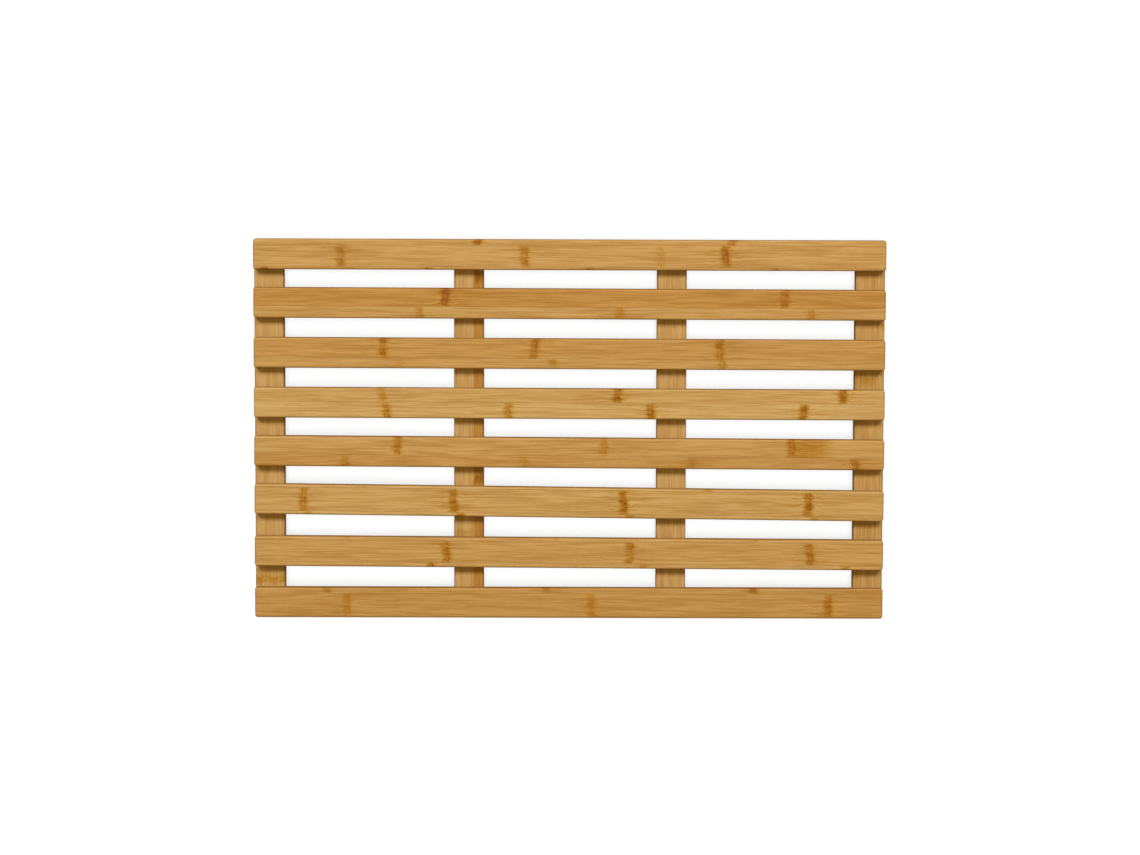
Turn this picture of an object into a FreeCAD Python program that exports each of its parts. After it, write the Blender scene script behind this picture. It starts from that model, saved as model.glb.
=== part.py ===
import FreeCAD, Part
import math
import os

from FreeCAD import Vector

# A slatted bamboo bath mat: eight slats screwed down on four battens, which stand on eight rubber feet.
#
# Frame: X along the slats, Y across them with +Y to the back, +Z up. The origin is on the floor, under the
# middle of the mat. All sizes are millimetres.

# Driving dimensions -------------------------------------------------------------------------------------

SLAT_COUNT = 8
SLAT_LENGTH = 600.0
SLAT_WIDTH = 29.0
SLAT_THICKNESS = 10.0
SLAT_PITCH = 47.5
SLAT_CORNER_RADIUS = 2.5      # the four upright corners, seen from above
SLAT_TOP_RADIUS = 2.0         # the roundover that bare feet meet
SLAT_UNDER_RADIUS = 0.8

# A hand-assembled mat, to the nearest half millimetre and from the back slat to the front one: how far behind
# its even place each slat sits, and how much nearer the front its right end lies than its left.
SLAT_DRIFT = (0.0, 1.0, 1.0, 1.0, 1.5, 1.5, 0.5, 0.0)
SLAT_LEAN = (0.5, 1.5, 1.5, 1.5, 3.0, 6.0, 3.0, 0.0)

BATTEN_WIDTH = 28.3
BATTEN_THICKNESS = 13.0
BATTEN_CORNER_RADIUS = 2.5    # the four upright corners
BATTEN_RADIUS = 2.0           # the roundover along its other edges
BATTEN_END_INSET = 2.0        # how far a batten's end hides behind the edge of the outer slat
INNER_BATTEN_X = 96.5
INNER_BATTEN_SHIFT = 0.75     # the inner pair was screwed on this far to the right

FOOT_HEIGHT = 5.0
FOOT_RADIUS = 10.0
FOOT_TAPER = 0.8              # the foot is this much smaller in radius at the floor
FOOT_EDGE_RADIUS = 1.0
FOOT_RECESS_RADIUS = 4.0
FOOT_RECESS_DEPTH = 2.4
FOOT_GROOVE_RADIUS = 6.6      # middle of the ring-shaped grip groove
FOOT_GROOVE_WIDTH = 0.9
FOOT_GROOVE_DEPTH = 0.6

SLAT_SCREW_LENGTH = 20.0      # countersunk wood screw, 3.5 x 20
SLAT_SCREW_SHANK_RADIUS = 1.75
SLAT_SCREW_HEAD_RADIUS = 3.5
SLAT_SCREW_RIM = 0.3
SLAT_SCREW_SUNK = 0.5         # its head lies this far inside the batten
SLAT_SCREW_TIP = 3.5
BATTEN_HOLE_RADIUS = 1.9
HEAD_CLEARANCE = 0.1

FOOT_SCREW_LENGTH = 12.0      # pan head wood screw, 3 x 12
FOOT_SCREW_SHANK_RADIUS = 1.5
FOOT_SCREW_HEAD_RADIUS = 2.9
FOOT_SCREW_HEAD_HEIGHT = 1.6
FOOT_SCREW_DOME = 0.7         # how far its head is rounded over
FOOT_SCREW_TIP = 2.5

TIP_RADIUS = 0.15             # a screw's point is not quite sharp
CROSS_ARM = 0.9               # width of each arm of the driver's cross
CROSS_SPAN = 4.0
CROSS_DEPTH = 1.3
CROSS_SPAN_SMALL = 3.2
CROSS_DEPTH_SMALL = 1.0

OVERCUT = 1.0                 # how far a drill runs past the face it cuts
TINY = 0.001

# Places that follow -------------------------------------------------------------------------------------

BATTEN_Z = FOOT_HEIGHT
SLAT_Z = BATTEN_Z + BATTEN_THICKNESS
MAT_DEPTH = SLAT_PITCH * (SLAT_COUNT - 1) + SLAT_WIDTH
OUTER_BATTEN_X = (SLAT_LENGTH - BATTEN_WIDTH) / 2

BATTENS = {
    "left_outer": -OUTER_BATTEN_X,
    "left_inner": INNER_BATTEN_SHIFT - INNER_BATTEN_X,
    "right_inner": INNER_BATTEN_SHIFT + INNER_BATTEN_X,
    "right_outer": OUTER_BATTEN_X,
}
FOOT_Y = {"back": SLAT_PITCH * 3, "front": -SLAT_PITCH * 3}   # under the first and the last gap

UP = Vector(0, 0, 1)


def slat_turn(index):
    """How far a slat, counted from the back, is turned as seen from above, in radians."""
    return -math.asin(SLAT_LEAN[index] / SLAT_LENGTH)


def slat_y(index, x=0.0):
    """The middle of a slat at x, counted from the back, with its own drift and lean."""
    even = SLAT_PITCH * ((SLAT_COUNT - 1) / 2 - index)
    return even + SLAT_DRIFT[index] + x * math.tan(slat_turn(index))


# Bamboo -------------------------------------------------------------------------------------------------

def edges_where(shape, test):
    """The edges whose two ends both pass the test."""
    return [e for e in shape.Edges if all(test(v.Point) for v in e.Vertexes)]


def upright_edges(shape):
    """The edges that run straight up."""
    return [e for e in shape.Edges if abs(e.tangentAt(e.FirstParameter).z) > 1 - TINY]


def eased_bar(length, width, height, corner, top, under):
    """A bar centred on the origin and standing on z = 0, with its corners and long edges rounded over."""
    bar = Part.makeBox(length, width, height, Vector(-length / 2, -width / 2, 0))
    bar = bar.makeFillet(corner, upright_edges(bar))
    bar = bar.makeFillet(top, edges_where(bar, lambda p: p.z > height - TINY))
    return bar.makeFillet(under, edges_where(bar, lambda p: p.z < TINY))


def slat(index):
    """One slat, with the blind holes that its four screws have cut for themselves."""
    bar = eased_bar(
        SLAT_LENGTH, SLAT_WIDTH, SLAT_THICKNESS, SLAT_CORNER_RADIUS, SLAT_TOP_RADIUS, SLAT_UNDER_RADIUS
    )
    bar.rotate(Vector(0, 0, 0), UP, math.degrees(slat_turn(index)))
    bar.translate(Vector(0, slat_y(index), SLAT_Z))
    for x in BATTENS.values():
        bar = bar.cut(slat_screw_body(x, slat_y(index, x)))
    return bar


def batten(x):
    """One batten, drilled and countersunk from below for its slats, and bored for its two feet."""
    length = MAT_DEPTH - 2 * BATTEN_END_INSET
    bar = eased_bar(
        BATTEN_WIDTH, length, BATTEN_THICKNESS, BATTEN_CORNER_RADIUS, BATTEN_RADIUS, BATTEN_RADIUS
    )
    bar.translate(Vector(x, 0, BATTEN_Z))
    for index in range(SLAT_COUNT):
        bar = bar.cut(slat_screw_hole(x, slat_y(index, x)))
    for y in FOOT_Y.values():
        bar = bar.cut(foot_screw_body(x, y))
    return bar


# Screws -------------------------------------------------------------------------------------------------

def turned(profile, x, y):
    """A solid turned from (radius, z) points, which start and end on the axis."""
    points = [Vector(radius, 0, z) for radius, z in profile]
    face = Part.Face(Part.makePolygon(points + points[:1]))
    solid = face.revolve(Vector(0, 0, 0), UP, 360)
    solid.translate(Vector(x, y, 0))
    return solid


def driver_cross(x, y, z, span, depth):
    """The cross that a screwdriver fits, cut upwards from a head's face at z."""
    arms = []
    for along, across in ((span, CROSS_ARM), (CROSS_ARM, span)):
        arms.append(Part.makeBox(along, across, depth, Vector(x - along / 2, y - across / 2, z)))
    return arms[0].fuse(arms[1]).removeSplitter()


def slat_screw_levels():
    """The heights of a slat screw's face, rim, neck, tip and point."""
    face = BATTEN_Z + SLAT_SCREW_SUNK
    rim = face + SLAT_SCREW_RIM
    neck = rim + SLAT_SCREW_HEAD_RADIUS - SLAT_SCREW_SHANK_RADIUS
    point = face + SLAT_SCREW_LENGTH
    return face, rim, neck, point - SLAT_SCREW_TIP, point


def slat_screw_body(x, y):
    """A slat screw without its cross: what it takes out of the wood."""
    face, rim, neck, tip, point = slat_screw_levels()
    return turned(
        [
            (0, face),
            (SLAT_SCREW_HEAD_RADIUS, face),
            (SLAT_SCREW_HEAD_RADIUS, rim),
            (SLAT_SCREW_SHANK_RADIUS, neck),
            (SLAT_SCREW_SHANK_RADIUS, tip),
            (TIP_RADIUS, point),
            (0, point),
        ],
        x,
        y,
    )


def slat_screw(x, y):
    """A countersunk screw, driven upwards through a batten into a slat."""
    face = slat_screw_levels()[0]
    return slat_screw_body(x, y).cut(driver_cross(x, y, face, CROSS_SPAN, CROSS_DEPTH))


def slat_screw_hole(x, y):
    """The clearance hole and countersink in a batten. The head bears on the countersink's cone."""
    face, rim, neck, _, _ = slat_screw_levels()
    mouth = SLAT_SCREW_HEAD_RADIUS + HEAD_CLEARANCE
    drilled = neck - (BATTEN_HOLE_RADIUS - SLAT_SCREW_SHANK_RADIUS)
    return turned(
        [
            (0, BATTEN_Z - OVERCUT),
            (mouth, BATTEN_Z - OVERCUT),
            (mouth, rim),
            (SLAT_SCREW_HEAD_RADIUS, rim),
            (BATTEN_HOLE_RADIUS, drilled),
            (BATTEN_HOLE_RADIUS, SLAT_Z + OVERCUT),
            (0, SLAT_Z + OVERCUT),
        ],
        x,
        y,
    )


def foot_screw_body(x, y):
    """A foot screw without its cross: a pan head with a rounded edge, a shank and a point."""
    seat = FOOT_RECESS_DEPTH
    face = seat - FOOT_SCREW_HEAD_HEIGHT
    point = seat + FOOT_SCREW_LENGTH
    blank = turned(
        [
            (0, face),
            (FOOT_SCREW_HEAD_RADIUS, face),
            (FOOT_SCREW_HEAD_RADIUS, seat),
            (FOOT_SCREW_SHANK_RADIUS, seat),
            (FOOT_SCREW_SHANK_RADIUS, point - FOOT_SCREW_TIP),
            (TIP_RADIUS, point),
            (0, point),
        ],
        x,
        y,
    )
    return blank.makeFillet(FOOT_SCREW_DOME, edges_where(blank, lambda p: p.z < face + TINY))


def foot_screw(x, y):
    """A pan head screw, which holds a foot to its batten from inside the foot's recess."""
    face = FOOT_RECESS_DEPTH - FOOT_SCREW_HEAD_HEIGHT
    cross = driver_cross(x, y, face, CROSS_SPAN_SMALL, CROSS_DEPTH_SMALL)
    return foot_screw_body(x, y).cut(cross)


# Rubber feet --------------------------------------------------------------------------------------------

def foot(x, y):
    """A moulded foot: a tapered disc with a recess for its screw and a ring-shaped grip groove."""
    disc = Part.makeCone(
        FOOT_RADIUS - FOOT_TAPER, FOOT_RADIUS, FOOT_HEIGHT, Vector(x, y, 0), UP
    )
    disc = disc.makeFillet(FOOT_EDGE_RADIUS, edges_where(disc, lambda p: p.z < TINY))
    recess = Part.makeCylinder(FOOT_RECESS_RADIUS, FOOT_RECESS_DEPTH, Vector(x, y, 0), UP)
    hole = Part.makeCylinder(FOOT_SCREW_SHANK_RADIUS, FOOT_HEIGHT, Vector(x, y, 0), UP)
    groove = Part.makeCylinder(
        FOOT_GROOVE_RADIUS + FOOT_GROOVE_WIDTH / 2, FOOT_GROOVE_DEPTH, Vector(x, y, 0), UP
    ).cut(
        Part.makeCylinder(
            FOOT_GROOVE_RADIUS - FOOT_GROOVE_WIDTH / 2, FOOT_GROOVE_DEPTH, Vector(x, y, 0), UP
        )
    )
    return disc.cut(recess).cut(hole).cut(groove)


# The whole mat ------------------------------------------------------------------------------------------

def build():
    """Every node of the mat, by name. A group of identical screws is one node of separate solids."""
    nodes = {f"slat_{index + 1}": slat(index) for index in range(SLAT_COUNT)}
    for side, x in BATTENS.items():
        nodes[f"batten_{side}"] = batten(x)
        nodes[f"slat_screws_{side}"] = Part.makeCompound(
            [slat_screw(x, slat_y(index, x)) for index in range(SLAT_COUNT)]
        )
        for end, y in FOOT_Y.items():
            nodes[f"foot_{side}_{end}"] = foot(x, y)
    nodes["foot_screws"] = Part.makeCompound(
        [foot_screw(x, y) for x in BATTENS.values() for y in FOOT_Y.values()]
    )
    return nodes


os.makedirs("parts", exist_ok=True)
for name, shape in build().items():
    if not shape.isValid() or any(solid.Volume <= 0 for solid in shape.Solids):
        raise RuntimeError(f"{name} is not a sound solid")
    shape.exportStep(os.path.join("parts", name + ".step"))
    print(f"{name:28s} {len(shape.Solids)} solid(s)  {shape.Volume / 1000:9.3f} cm3")
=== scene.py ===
import math
import random

import bmesh
import bpy
from mathutils import Matrix, Vector


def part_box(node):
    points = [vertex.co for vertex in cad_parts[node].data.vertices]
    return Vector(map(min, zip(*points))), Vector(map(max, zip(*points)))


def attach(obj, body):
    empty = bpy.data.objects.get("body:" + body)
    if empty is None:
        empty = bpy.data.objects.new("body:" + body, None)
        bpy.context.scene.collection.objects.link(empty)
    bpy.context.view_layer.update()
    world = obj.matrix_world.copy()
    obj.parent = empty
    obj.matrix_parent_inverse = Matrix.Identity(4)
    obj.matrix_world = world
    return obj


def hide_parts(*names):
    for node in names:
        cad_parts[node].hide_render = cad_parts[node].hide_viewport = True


# A slatted bamboo bath mat: eight slats screwed from below to four battens, on eight rubber feet. The frame
# has X along the slats, +Y to the back edge and +Z up, with its origin on the floor under the mat's middle.

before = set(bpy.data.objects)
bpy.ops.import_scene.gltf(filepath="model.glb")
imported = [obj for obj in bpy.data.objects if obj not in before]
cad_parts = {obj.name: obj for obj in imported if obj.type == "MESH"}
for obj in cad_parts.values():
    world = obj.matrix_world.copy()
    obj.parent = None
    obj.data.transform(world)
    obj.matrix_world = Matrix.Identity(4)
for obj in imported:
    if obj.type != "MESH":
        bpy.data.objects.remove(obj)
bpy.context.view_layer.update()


# ---- Slats ---------------------------------------------------------------------------------------------
# Eight laths of laminated bamboo, planed to 29 x 10 mm, sanded round on every edge and oiled. Each is glued
# up from two plies of flat strips, so its face shows two or three strips side by side, and the knuckles of
# each strip's own stem fall where they will. Screws from below hold it, so nothing shows on top.

MM = 0.001                    # sizes are written in millimetres and made metres as they are used
SLAT_LENGTH = 600.0
SLAT_WIDTH = 29.0
SLAT_CORNER = 2.5             # radius of the upright corners
SLAT_TOP_ROUND = 2.0          # radius of the top edges, which bare feet meet
SLAT_UNDER_ROUND = 0.8
PILOT_RADIUS = 1.75           # the blind hole that each screw cuts for itself
PILOT_DEPTH = 7.5
PILOT_TIP = 3.5
TIP_RADIUS = 0.15
OVERCUT = 1.0                 # how far a drill runs past the face that it cuts
SLAT_CELLS = (60, 24, 2)      # mesh cells along, across and through, between the rounded edges
ROUND_CELLS = 4               # and in each rounded edge
HOLE_SEGMENTS = 24
SEAM = 0.001                  # points nearer than this are one, which closes a turned shape
SHARP_ANGLE = 35.0            # degrees between two faces, past which their edge stays crisp
END_REACH = 1.5               # a sawn end takes in the faces this near it,
END_FACING = 0.7              # if they look along the bar at least this squarely
SIDES = ("left_outer", "left_inner", "right_inner", "right_outer")     # the battens, from the left

# Bamboo runs from pale straw to a deep toasted gold. A strip's tone counts even steps between the two.
PALE_BAMBOO = "c8a874"
DEEP_BAMBOO = "b4853f"
TONE_STEPS = 5

FAINT = 0.25                  # how dark a knuckle has grown, at four strengths
SOFT = 0.5
CLEAR = 0.85
DARK = 1.25

# The face strips of each slat from back to front: width, tone, and knuckles. A knuckle has its place along
# the slat from the mat's middle, its strength and, where a stain runs out from it, how far that runs.
SLAT_FACES = {
    "slat_1": [
        (5.5, 2, [(-87, DARK), (154, CLEAR)]),
        (20.5, 2, [(-217, CLEAR), (-42, CLEAR), (86, FAINT), (147.5, DARK)]),
        (3.0, 2, [(-289, DARK), (-135, DARK), (19, DARK), (195, CLEAR)]),
    ],
    "slat_2": [
        (17.5, 4, [(-118, DARK), (204, CLEAR)]),
        (11.5, 2, [(-143, SOFT), (48, SOFT), (229, SOFT)]),
    ],
    "slat_3": [
        (19.0, 3, [(-177, CLEAR), (-33, CLEAR), (143, CLEAR)]),
        (10.0, 2, [(-161, FAINT), (-15, SOFT), (145, SOFT)]),
    ],
    "slat_4": [
        (13.5, 1, [(-178, SOFT), (46, DARK), (260.5, DARK)]),
        (15.5, 0, [(-174, CLEAR), (-58, CLEAR), (77, DARK), (223, DARK)]),
    ],
    "slat_5": [
        (17.0, 2, [(-163, CLEAR), (32.5, SOFT), (212, CLEAR, 42)]),
        (12.0, 3, [(-213, SOFT), (-43, FAINT), (117, SOFT), (272, CLEAR)]),
    ],
    "slat_6": [
        (2.5, 1, [(-197, FAINT), (-40, FAINT), (132, SOFT)]),
        (22.5, 1, [(-253, CLEAR), (-110, DARK), (52, DARK), (228, DARK)]),
        (4.0, 0, [(-248, SOFT), (-103, DARK), (59, DARK), (234, DARK)]),
    ],
    "slat_7": [
        (3.5, 2, [(-212, FAINT), (-12, FAINT), (177, FAINT)]),
        (21.0, 2, [(-117, CLEAR), (58, CLEAR), (230, CLEAR)]),
        (4.5, 1, [(-132, DARK), (71, CLEAR), (264, CLEAR)]),
    ],
    "slat_8": [
        (5.5, 3, [(-231, SOFT), (-21, SOFT), (176, CLEAR)]),
        (22.0, 3, [(-212, SOFT), (21.5, SOFT), (248, CLEAR)]),
        (1.5, 3, [(-115, FAINT), (151, FAINT), (282, FAINT)]),
    ],
}
FAR_OFF = 1000.0              # the place of a knuckle or a joint that a strip doesn't have
PLY_STRIPS = 4                # strips are numbered with room for this many in each ply

# The underside is a second ply: how its strips share the width, the least and most from its end to a first
# knuckle, and from each knuckle to the next.
HIDDEN_SHARES = [(0.62, 0.38), (0.4, 0.6), (0.2, 0.66, 0.14)]
FIRST_KNUCKLE = (10, 150)
KNUCKLE_SPACING = (130, 210)


def add(tree, kind, inputs=None, **settings):
    """Adds a node of a kind with its settings, then sets or links its inputs, by name or by number."""
    node = tree.nodes.new(kind)
    for name, value in settings.items():
        setattr(node, name, value)
    for key, value in (inputs or {}).items():
        shown = [socket for socket in node.inputs if socket.enabled]
        socket = shown[key] if isinstance(key, int) else next(s for s in shown if s.name == key)
        for source in value if isinstance(value, list) else [value]:
            if isinstance(source, bpy.types.Node):
                source = next(output for output in source.outputs if output.enabled)
            if isinstance(source, bpy.types.NodeSocket):
                tree.links.new(source, socket)
            else:
                socket.default_value = source
    return node


def geometry_tree(name, sockets):
    """Starts a geometry tree with named inputs. Returns it with the node that gives the inputs."""
    tree = bpy.data.node_groups.new(name, "GeometryNodeTree")
    tree.interface.new_socket("Geometry", in_out="OUTPUT", socket_type="NodeSocketGeometry")
    for label, kind in sockets.items():
        tree.interface.new_socket(label, in_out="INPUT", socket_type=f"NodeSocket{kind}")
    return tree, add(tree, "NodeGroupInput").outputs


def close_tree(tree, shape, material):
    """Ends a geometry tree with real mesh in place of instances, in one material."""
    whole = add(tree, "GeometryNodeRealizeInstances", {0: shape})
    finished = add(tree, "GeometryNodeSetMaterial", {0: whole, "Material": material})
    add(tree, "NodeGroupOutput", {0: finished})


def loose_points(name, points):
    """An object that is nothing but points, for a geometry tree to read."""
    mesh = bpy.data.meshes.new(name)
    mesh.from_pydata(points, [], [])
    holder = bpy.data.objects.new(name, mesh)
    bpy.context.scene.collection.objects.link(holder)
    return holder


def discard(thing):
    """Takes away an object that only helped to make another."""
    mesh = thing.data
    bpy.data.objects.remove(thing)
    bpy.data.meshes.remove(mesh)


def made_by(tree, name, points, **given):
    """The plain mesh that a geometry tree makes from some points and its named inputs. A list becomes loose
    points, which that input reads."""
    piece = loose_points(name, points)
    modifier = piece.modifiers.new("Make", "NODES")
    modifier.node_group = tree
    helpers = []
    for socket in tree.interface.items_tree:
        value = given.get(socket.name.replace(" ", "_"))
        if isinstance(value, list):
            value = loose_points("helper", value)
            helpers.append(value)
        if value is not None:
            modifier[socket.identifier] = value
    graph = bpy.context.evaluated_depsgraph_get()
    mesh = bpy.data.meshes.new_from_object(piece.evaluated_get(graph), depsgraph=graph)
    while mesh.materials and not mesh.materials[0]:
        mesh.materials.pop(index=0)     # the empty slot that the tree's own shapes start with
    mesh.polygons.foreach_set("material_index", [0] * len(mesh.polygons))
    piece.modifiers.remove(modifier)
    start = piece.data
    piece.data = mesh
    bpy.data.meshes.remove(start)
    mesh.name = name
    for helper in helpers:
        discard(helper)
    return piece


def outward(mesh):
    """Turns every face of a closed mesh outwards and softens the shading of its rounded edges."""
    shape = bmesh.new()
    shape.from_mesh(mesh)
    bmesh.ops.recalc_face_normals(shape, faces=shape.faces)
    shape.to_mesh(mesh)
    shape.free()
    mesh.shade_smooth()
    mesh.set_sharp_from_angle(angle=math.radians(SHARP_ANGLE))


def planed_bar():
    """The tree that makes a bar centred on the origin, with its cells crowded into the rounded edges."""
    tree, given = geometry_tree(
        "Planed bar",
        {
            "Geometry": "Geometry",
            "Size": "Vector",
            "Cells": "Vector",
            "Corner": "Float",
            "Top round": "Float",
            "Under round": "Float",
            "Drills": "Object",
            "Material": "Material",
        },
    )
    vector, number = "ShaderNodeVectorMath", "ShaderNodeMath"

    # A two-metre cube is cut into cells, and each point's place in it counts cells out from the middle.
    inner = add(tree, vector, {0: given["Cells"], 1: (0.5, 0.5, 0.5)}, operation="MULTIPLY")
    outer = add(tree, vector, {0: inner, 1: (ROUND_CELLS,) * 3}, operation="ADD")
    counts = add(tree, vector, {0: outer, 1: (2, 2, 2), 2: (1, 1, 1)}, operation="MULTIPLY_ADD")
    count = add(tree, "ShaderNodeSeparateXYZ", {0: counts}).outputs
    cube = add(
        tree,
        "GeometryNodeMeshCube",
        {"Size": (2, 2, 2), "Vertices X": count[0], "Vertices Y": count[1], "Vertices Z": count[2]},
    )
    place = add(tree, "GeometryNodeInputPosition")
    side = add(tree, vector, {0: place}, operation="SIGN")
    apart = add(tree, vector, {0: place}, operation="ABSOLUTE")
    cells_out = add(tree, vector, {0: apart, 1: outer}, operation="MULTIPLY")

    # The bar is a square-edged core with a rounded rim around it.
    height = add(tree, "ShaderNodeSeparateXYZ", {0: place}).outputs["Z"]
    is_top = add(tree, "FunctionNodeCompare", {0: height, 1: 0.0}, operation="GREATER_THAN")
    edge = add(
        tree,
        "GeometryNodeSwitch",
        {"Switch": is_top, "False": given["Under round"], "True": given["Top round"]},
        input_type="FLOAT",
    )
    rim = add(tree, "ShaderNodeCombineXYZ", {0: given["Corner"], 1: given["Corner"], 2: edge})
    half = add(tree, vector, {0: given["Size"], 1: (0.5, 0.5, 0.5)}, operation="MULTIPLY")
    core = add(tree, vector, {0: half, 1: rim}, operation="SUBTRACT")
    in_core = add(
        tree,
        "ShaderNodeMapRange",
        {"Vector": cells_out, "From Max": inner, "To Max": core},
        data_type="FLOAT_VECTOR",
    )
    in_rim = add(
        tree,
        "ShaderNodeMapRange",
        {"Vector": cells_out, "From Min": inner, "From Max": outer, "To Max": rim},
        data_type="FLOAT_VECTOR",
    )

    # Squares round a core's corner become circles, first seen from above and then seen along the edge.
    step = add(tree, "ShaderNodeSeparateXYZ", {0: in_rim}).outputs
    level = add(tree, vector, {0: in_rim, 1: (1, 1, 0)}, operation="MULTIPLY")
    heading = add(tree, vector, {0: level}, operation="NORMALIZE")
    reach = add(tree, number, {0: step["X"], 1: step["Y"]}, operation="MAXIMUM")
    flat_part = add(tree, number, {0: given["Corner"], 1: edge}, operation="SUBTRACT")
    past_flat = add(tree, number, {0: reach, 1: flat_part}, operation="SUBTRACT")
    over = add(tree, number, {0: past_flat, 1: 0.0}, operation="MAXIMUM")
    square = add(tree, number, {0: over, 1: step["Z"]}, operation="MAXIMUM")
    slant = add(tree, "ShaderNodeCombineXYZ", {0: over, 1: step["Z"]})
    circle = add(tree, vector, {0: slant}, operation="LENGTH").outputs["Value"]
    pull = add(tree, number, {0: square, 1: circle}, operation="DIVIDE")
    within = add(tree, number, {0: reach, 1: flat_part}, operation="MINIMUM")
    out = add(tree, number, {0: over, 1: pull, 2: within}, operation="MULTIPLY_ADD")
    up = add(tree, number, {0: step["Z"], 1: pull}, operation="MULTIPLY")
    sideways = add(tree, vector, {0: heading, "Scale": out}, operation="SCALE")
    rise = add(tree, "ShaderNodeCombineXYZ", {2: up})
    rounding = add(tree, vector, {0: sideways, 1: rise}, operation="ADD")
    corner = add(tree, vector, {0: in_core, 1: rounding}, operation="ADD")
    signed = add(tree, vector, {0: corner, 1: side}, operation="MULTIPLY")
    bar = add(tree, "GeometryNodeSetPosition", {"Geometry": cube, "Position": signed})
    drills = add(tree, "GeometryNodeObjectInfo", {"Object": given["Drills"]}).outputs["Geometry"]
    drilled = add(
        tree,
        "GeometryNodeMeshBoolean",
        {"Mesh 1": bar, "Mesh 2": drills},
        operation="DIFFERENCE",
        solver="MANIFOLD",
    )
    close_tree(tree, drilled, given["Material"])
    return tree


def turned(tree, profile, segments):
    """Adds the nodes that turn a profile, which lies in X and Z, about the Z axis into a closed shape."""
    number = "ShaderNodeMath"
    sizes = add(tree, "GeometryNodeAttributeDomainSize", {0: profile}, component="MESH")
    count = sizes.outputs["Point Count"]
    around = add(tree, number, {0: segments, 1: 1.0}, operation="ADD")
    grid = add(tree, "GeometryNodeMeshGrid", {"Vertices X": around, "Vertices Y": count})
    index = add(tree, "GeometryNodeInputIndex")
    row = add(tree, number, {0: index, 1: count}, operation="MODULO")
    point = add(
        tree,
        "GeometryNodeSampleIndex",
        {"Geometry": profile, "Value": add(tree, "GeometryNodeInputPosition"), "Index": row},
        data_type="FLOAT_VECTOR",
    )
    quotient = add(tree, number, {0: index, 1: count}, operation="DIVIDE")
    column = add(tree, number, {0: quotient}, operation="FLOOR")
    share = add(tree, number, {0: column, 1: segments}, operation="DIVIDE")
    angle = add(tree, number, {0: share, 1: math.tau}, operation="MULTIPLY")
    swept = add(tree, "ShaderNodeVectorRotate", {"Vector": point, "Angle": angle}, rotation_type="Z_AXIS")
    shape = add(tree, "GeometryNodeSetPosition", {"Geometry": grid, "Position": swept})
    return add(tree, "GeometryNodeMergeByDistance", {"Geometry": shape, "Distance": SEAM * MM})


def drill_tree():
    """The tree that makes the cutters of a bar's holes: one turned shape at each place."""
    tree, given = geometry_tree(
        "Drills", {"Geometry": "Geometry", "Segments": "Int", "Places": "Object", "Material": "Material"}
    )
    drill = turned(tree, given["Geometry"], given["Segments"])
    places = add(tree, "GeometryNodeObjectInfo", {"Object": given["Places"]}).outputs["Geometry"]
    placed = add(tree, "GeometryNodeInstanceOnPoints", {"Points": places, "Instance": drill})
    close_tree(tree, placed, given["Material"])
    return tree


def profile_of(*points):
    """Radius and height pairs in millimetres, as the points of a turned shape's profile."""
    return [(radius * MM, 0, height * MM) for radius, height in points]


def strips_across(faces, width):
    """Each strip's back and front joint, measured forwards from the bar's middle line, with the strip."""
    back = -width / 2
    for strip in faces:
        yield back, back + strip[0], strip
        back += strip[0]


def lay_up(mesh, faces, under, thickness, seed):
    """Writes the bamboo into a bar that lies along X: each face's strip, with its tone and knuckles."""
    width = sum(strip[0] for strip in faces)
    tones, strips, knuckles, joints, fibres = [], [], [], [], []
    for face in mesh.polygons:
        x, y, z = face.center / MM
        upper = z > 0
        plies = list(strips_across(faces if upper else under, width))
        number = next((n for n, ply in enumerate(plies) if -y <= ply[1]), len(plies) - 1)
        back, front, strip = plies[number]
        near = min(strip[2], key=lambda spot: abs(spot[0] - x), default=(FAR_OFF, 0))
        trail = near[2] if len(near) > 2 else 0
        tones += bamboo_tone(strip[1])
        strips.append((2 * seed + (0 if upper else 1)) * PLY_STRIPS + number)
        knuckles += [near[0], near[1], trail]
        joints += [back if number else -FAR_OFF, front if number < len(plies) - 1 else FAR_OFF, 0]
        over_edge = 1 if y > 0 else -1
        for loop in face.loop_indices:
            point = mesh.vertices[mesh.loops[loop].vertex_index].co / MM
            drop = thickness / 2 - abs(point.z)
            fibres += [point.x, -point.y - over_edge * drop]
    mesh.uv_layers.new(name="fibre")
    mesh.uv_layers["fibre"].data.foreach_set("uv", fibres)
    for name, kind, field, values in (
        ("tone", "FLOAT_COLOR", "color", tones),
        ("strip", "FLOAT", "value", strips),
        ("knuckle", "FLOAT_VECTOR", "vector", knuckles),
        ("joints", "FLOAT_VECTOR", "vector", joints),
    ):
        mesh.attributes.new(name, kind, "FACE").data.foreach_set(field, values)


def linear(hex_colour):
    """An sRGB hex colour as linear red, green, blue and alpha."""
    parts = (int(hex_colour[i:i + 2], 16) / 255 for i in (0, 2, 4))
    return tuple(c / 12.92 if c <= 0.04045 else ((c + 0.055) / 1.055) ** 2.4 for c in parts) + (1.0,)


def bamboo_tone(step):
    """The colour of bamboo some steps from its pale end, as a linear colour."""
    return tuple(Vector(linear(PALE_BAMBOO)).lerp(linear(DEEP_BAMBOO), step / TONE_STEPS))


def hidden_ply(chance, width, length):
    """Two or three strips for a face that lies underneath, with knuckles at a stem's usual spacing."""
    ply = []
    for share in chance.choice(HIDDEN_SHARES):
        spots = []
        x = -length / 2 + chance.uniform(*FIRST_KNUCKLE)
        while x < length / 2:
            spots.append((x, chance.uniform(FAINT, DARK)))
            x += chance.uniform(*KNUCKLE_SPACING)
        ply.append((width * share, chance.randint(0, TONE_STEPS - 1), spots))
    return ply


def bare_material(name):
    """Starts a material. Returns it with its node tree, which is empty."""
    material = bpy.data.materials.new(name)
    material.use_nodes = True
    material.node_tree.nodes.clear()
    return material, material.node_tree


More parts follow.
